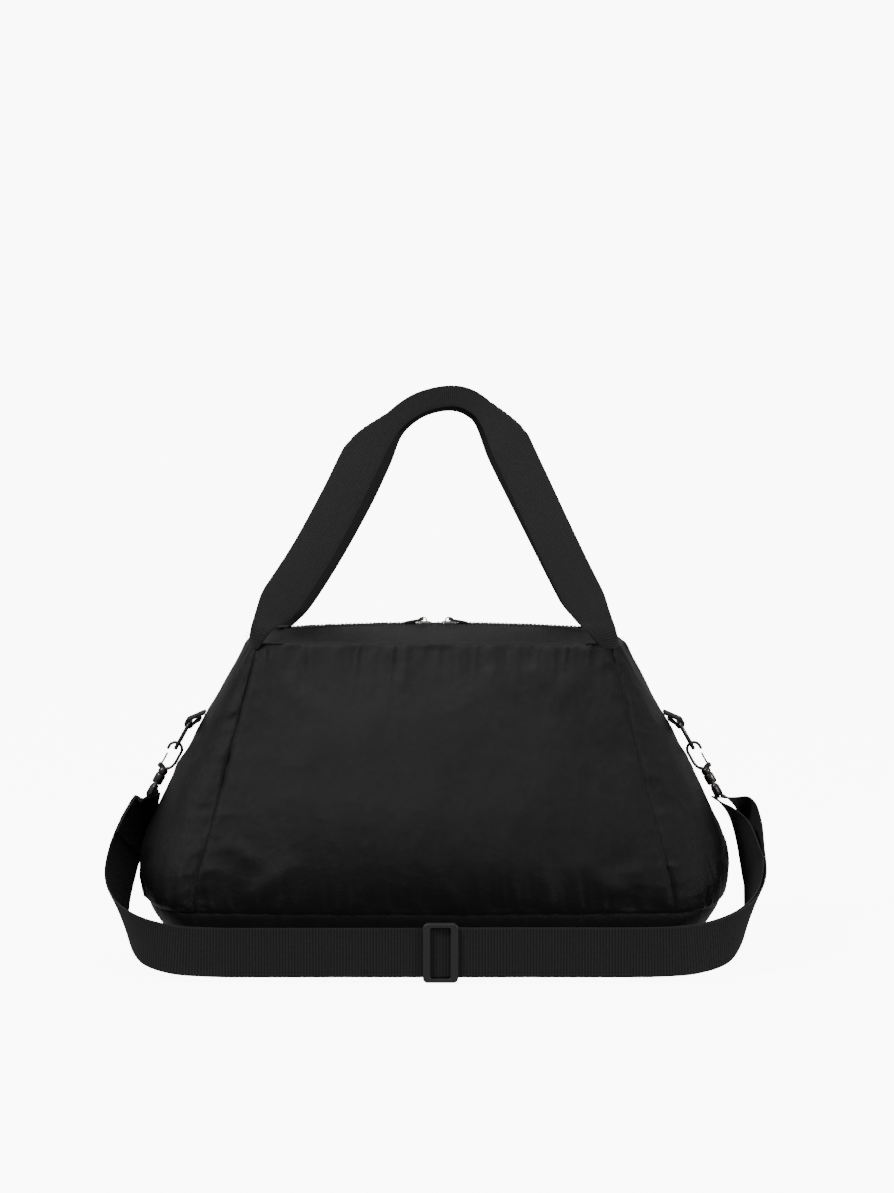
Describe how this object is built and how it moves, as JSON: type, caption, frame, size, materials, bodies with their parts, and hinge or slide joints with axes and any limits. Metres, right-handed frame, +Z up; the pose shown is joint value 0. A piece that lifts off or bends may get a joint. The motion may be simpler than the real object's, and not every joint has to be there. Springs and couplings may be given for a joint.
{
  "type": "duffel bag",
  "caption": "Soft duffel bag with a trapezoid front, zip top, webbing carry handles and an adjustable shoulder strap on swivel hooks.",
  "frame": {"origin": "centre of the flat base the bag stands on", "axes": "+X to the bag's right as seen from the front, -Y to the front, +Z up"},
  "size_m": [0.5178, 0.2525, 0.4497],
  "materials": {
    "shell_fabric": "thin plain weave with a soft sheen",
    "lining_fabric": "coated inside face",
    "handle_webbing": "fine flat webbing",
    "strap_webbing": "ribbed webbing",
    "binding_tape": "narrow woven tape",
    "zip_tape": "woven zip tape",
    "zip_coil": "nylon coil",
    "nickel": "bright nickel plate",
    "pull_enamel": "black enamel",
    "gunmetal": "black nickel plate",
    "slider_plastic": "black moulded plastic"
  },
  "bodies": {
    "shell": {"front_panel": "shell_fabric", "back_panel": "shell_fabric", "base_panel": "shell_fabric", "left_end_panel": "shell_fabric", "right_end_panel": "shell_fabric", "left_end_top": "shell_fabric", "right_end_top": "shell_fabric", "corner_bindings": "binding_tape", "base_binding": "binding_tape", "handle_ends": "handle_webbing", "zip_stops": "nickel", "ring_tab_left": "strap_webbing", "ring_tab_right": "strap_webbing"},
    "front_flap": {"front_facing": "shell_fabric", "front_zip_tape": "zip_tape", "front_zip_teeth": "zip_coil"},
    "rear_flap": {"rear_facing": "shell_fabric", "rear_zip_tape": "zip_tape", "rear_zip_teeth": "zip_coil"},
    "slider_left": {"zip_slider_left": "nickel"},
    "slider_right": {"zip_slider_right": "nickel"},
    "pull_left": {"pull_tab_left": "pull_enamel"},
    "pull_right": {"pull_tab_right": "pull_enamel"},
    "handle_front": {"front_handle": "handle_webbing"},
    "handle_rear": {"rear_handle": "handle_webbing"},
    "ring_left": {"d_ring_left": "gunmetal"},
    "ring_right": {"d_ring_right": "gunmetal"},
    "strap": {"shoulder_strap": "strap_webbing", "strap_return": "strap_webbing", "strap_end_left": "strap_webbing", "strap_end_right": "strap_webbing", "swivel_base_left": "gunmetal", "swivel_base_right": "gunmetal"},
    "buckle": {"strap_slider": "slider_plastic"},
    "hook_left": {"snap_hook_left": "gunmetal"},
    "hook_right": {"snap_hook_right": "gunmetal"},
    "gate_left": {"hook_gate_left": "gunmetal"},
    "gate_right": {"hook_gate_right": "gunmetal"}
  },
  "joints": [
    {"name": "zip_right", "type": "slide", "parent": "shell", "child": "slider_right", "axis": [1, 0, 0], "range_m": [0, 0.098]},
    {"name": "zip_left", "type": "slide", "parent": "shell", "child": "slider_left", "axis": [-1, 0, 0], "range_m": [0, 0.098]},
    {"name": "front_flap_open", "type": "hinge", "parent": "shell", "child": "front_flap", "pos_m": [0, -0.041, 0.25], "axis": [1, 0, 0], "range_deg": [0, 48.01], "deforming": ["front_zip_teeth", "front_zip_tape"]},
    {"name": "rear_flap_open", "type": "hinge", "parent": "shell", "child": "rear_flap", "pos_m": [0, 0.041, 0.25], "axis": [-1, 0, 0], "range_deg": [0, 48.01], "deforming": ["rear_zip_teeth", "rear_zip_tape"]},
    {"name": "pull_left_flip", "type": "hinge", "parent": "slider_left", "child": "pull_left", "pos_m": [-0.0095, 0, 0.26488], "axis": [0, 1, 0], "range_deg": [0, 110]},
    {"name": "pull_right_flip", "type": "hinge", "parent": "slider_right", "child": "pull_right", "pos_m": [0.012, 0, 0.26486], "axis": [0, -1, 0], "range_deg": [0, 110]},
    {"name": "front_handle_fold", "type": "hinge", "parent": "shell", "child": "handle_front", "pos_m": [0, -0.0455, 0.2505], "axis": [1, 0, 0], "range_deg": [0, 140]},
    {"name": "rear_handle_fold", "type": "hinge", "parent": "shell", "child": "handle_rear", "pos_m": [0, 0.0455, 0.2505], "axis": [-1, 0, 0], "range_deg": [0, 140]},
    {"name": "ring_left_swing", "type": "hinge", "parent": "shell", "child": "ring_left", "pos_m": [-0.1937, 0, 0.18308], "axis": [0, 1, 0], "range_deg": [-3.5, 3.5]},
    {"name": "ring_right_swing", "type": "hinge", "parent": "shell", "child": "ring_right", "pos_m": [0.1937, 0, 0.18308], "axis": [0, -1, 0], "range_deg": [-3.5, 3.5]},
    {"name": "strap_swing", "type": "hinge", "parent": "shell", "child": "strap", "pos_m": [0, 0, 0.178], "axis": [-1, 0, 0], "range_deg": [0, 32]},
    {"name": "buckle_slide", "type": "slide", "parent": "strap", "child": "buckle", "axis": [1, 0, 0], "range_m": [-0.1, 0.1], "deforming": ["strap_return"]},
    {"name": "hook_left_swivel", "type": "hinge", "parent": "strap", "child": "hook_left", "pos_m": [-0.22182, 0, 0.13235], "axis": [0.4848, 0, 0.8746], "range_deg": [-12, 12]},
    {"name": "hook_right_swivel", "type": "hinge", "parent": "strap", "child": "hook_right", "pos_m": [0.22182, 0, 0.13235], "axis": [-0.4848, 0, 0.8746], "range_deg": [-12, 12]},
    {"name": "gate_left_press", "type": "hinge", "parent": "hook_left", "child": "gate_left", "pos_m": [-0.21753, 0, 0.14918], "axis": [0, 1, 0], "range_deg": [0, 18], "stiffness_Nm_per_rad": 0.02},
    {"name": "gate_right_press", "type": "hinge", "parent": "hook_right", "child": "gate_right", "pos_m": [0.21753, 0, 0.14918], "axis": [0, -1, 0], "range_deg": [0, 18], "stiffness_Nm_per_rad": 0.02}
  ],
  "couplings": [
    {"joint": "zip_left", "follows": "zip_right", "ratio": 1},
    {"joint": "front_flap_open", "follows": "zip_right", "rad_per_m": 8.5486},
    {"joint": "rear_flap_open", "follows": "zip_right", "rad_per_m": 8.5486}
  ]
}
